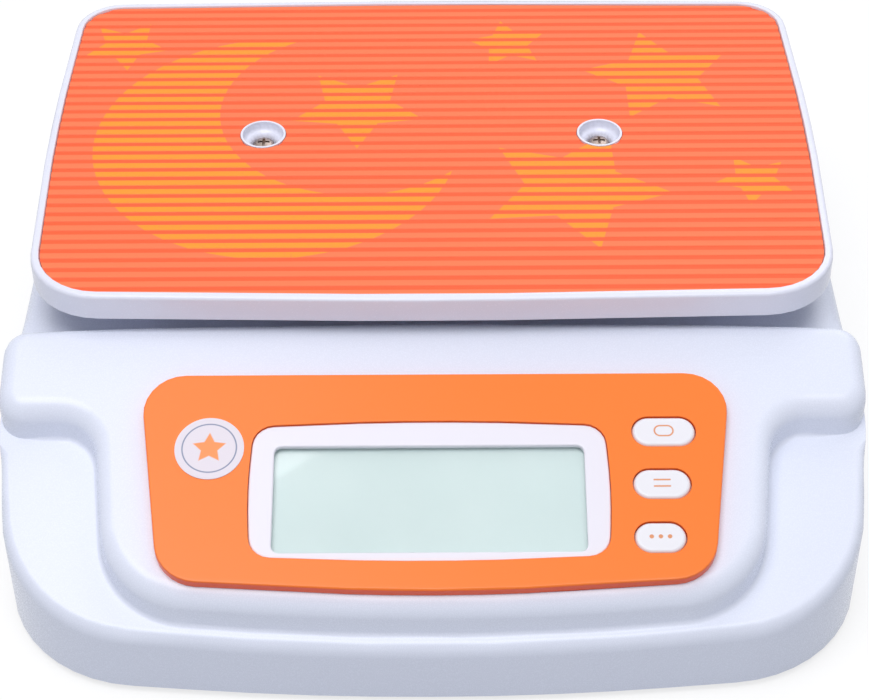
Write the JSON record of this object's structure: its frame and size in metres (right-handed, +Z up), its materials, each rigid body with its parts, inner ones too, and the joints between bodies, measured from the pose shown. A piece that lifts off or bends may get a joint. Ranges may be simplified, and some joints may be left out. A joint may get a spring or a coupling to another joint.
{
  "type": "baby weighing scale",
  "caption": "Table-top electronic baby scale: wedge base with a tilted console, display and push buttons, and a wide ribbed weighing platform.",
  "frame": {"origin": "centre of the base's footprint, on the plane that the feet stand on", "axes": "+X to the right across the console, +Y to the back under the platform, +Z up"},
  "size_m": [0.3, 0.294, 0.0886],
  "materials": {
    "housing_white": "glossy moulded plastic with a cool tint",
    "platform_white": "glossy moulded plastic",
    "trim_white": "glossy",
    "button_white": "glossy",
    "disc_white": "printed film",
    "panel_orange": "glossy",
    "mat_rubber": "matt ribbed rubber",
    "foot_rubber": "matt",
    "window_clear": "clear acrylic",
    "lcd_glass": "grey-green liquid crystal glass",
    "frame_plastic": "matt",
    "strip_rubber": "matt",
    "board_green": "solder mask",
    "screw_steel": "plated",
    "switch_black": "matt",
    "battery_wrap": "plain wrap",
    "contact_steel": "nickel plated",
    "cell_aluminium": "machined",
    "spacer_steel": "zinc plated",
    "support_steel": "zinc plated, pressed"
  },
  "bodies": {
    "base": {"upper_housing": "housing_white", "lower_housing": "housing_white", "housing_screws": "screw_steel", "rubber_feet": "foot_rubber", "batteries": "battery_wrap", "battery_springs": "contact_steel", "battery_tabs": "contact_steel", "control_panel": "panel_orange", "lcd_bezel": "trim_white", "display_window": "window_clear", "lcd_glass": "lcd_glass", "lcd_frame": "frame_plastic", "contact_strips": "strip_rubber", "circuit_board": "board_green", "board_screws": "screw_steel", "switch_bodies": "switch_black", "panel_disc": "disc_white", "load_cell": "cell_aluminium", "lower_spacer": "spacer_steel", "cell_base_screws": "screw_steel", "overload_stop": "screw_steel"},
    "platform": {"platform_support": "support_steel", "weighing_platform": "platform_white", "platform_mat": "mat_rubber", "platform_screws": "screw_steel", "upper_spacer": "spacer_steel", "cell_top_screws": "screw_steel"},
    "battery_door": {"battery_door": "housing_white"},
    "tare": {"tare_button": "button_white", "tare_plunger": "switch_black"},
    "mode": {"mode_button": "button_white", "mode_plunger": "switch_black"},
    "memory": {"memory_button": "button_white", "memory_plunger": "switch_black"}
  },
  "joints": [
    {"name": "tare_press", "type": "slide", "parent": "base", "child": "tare", "axis": [0, 0.2924, -0.9563], "range_m": [0, 0.0005], "stiffness_N_per_m": 2400, "springref_m": -0.0003},
    {"name": "mode_press", "type": "slide", "parent": "base", "child": "mode", "axis": [0, 0.2924, -0.9563], "range_m": [0, 0.0005], "stiffness_N_per_m": 2400, "springref_m": -0.0003},
    {"name": "memory_press", "type": "slide", "parent": "base", "child": "memory", "axis": [0, 0.2924, -0.9563], "range_m": [0, 0.0005], "stiffness_N_per_m": 2400, "springref_m": -0.0003},
    {"name": "platform_flex", "type": "slide", "parent": "base", "child": "platform", "axis": [0, 0, -1], "range_m": [0, 0.0004], "stiffness_N_per_m": 490000, "deforming": ["load_cell"]},
    {"name": "battery_door_tilt", "type": "hinge", "parent": "base", "child": "battery_door", "pos_m": [0, -0.04385, 0.0044], "axis": [1, 0, 0], "range_deg": [0, 35]}
  ]
}
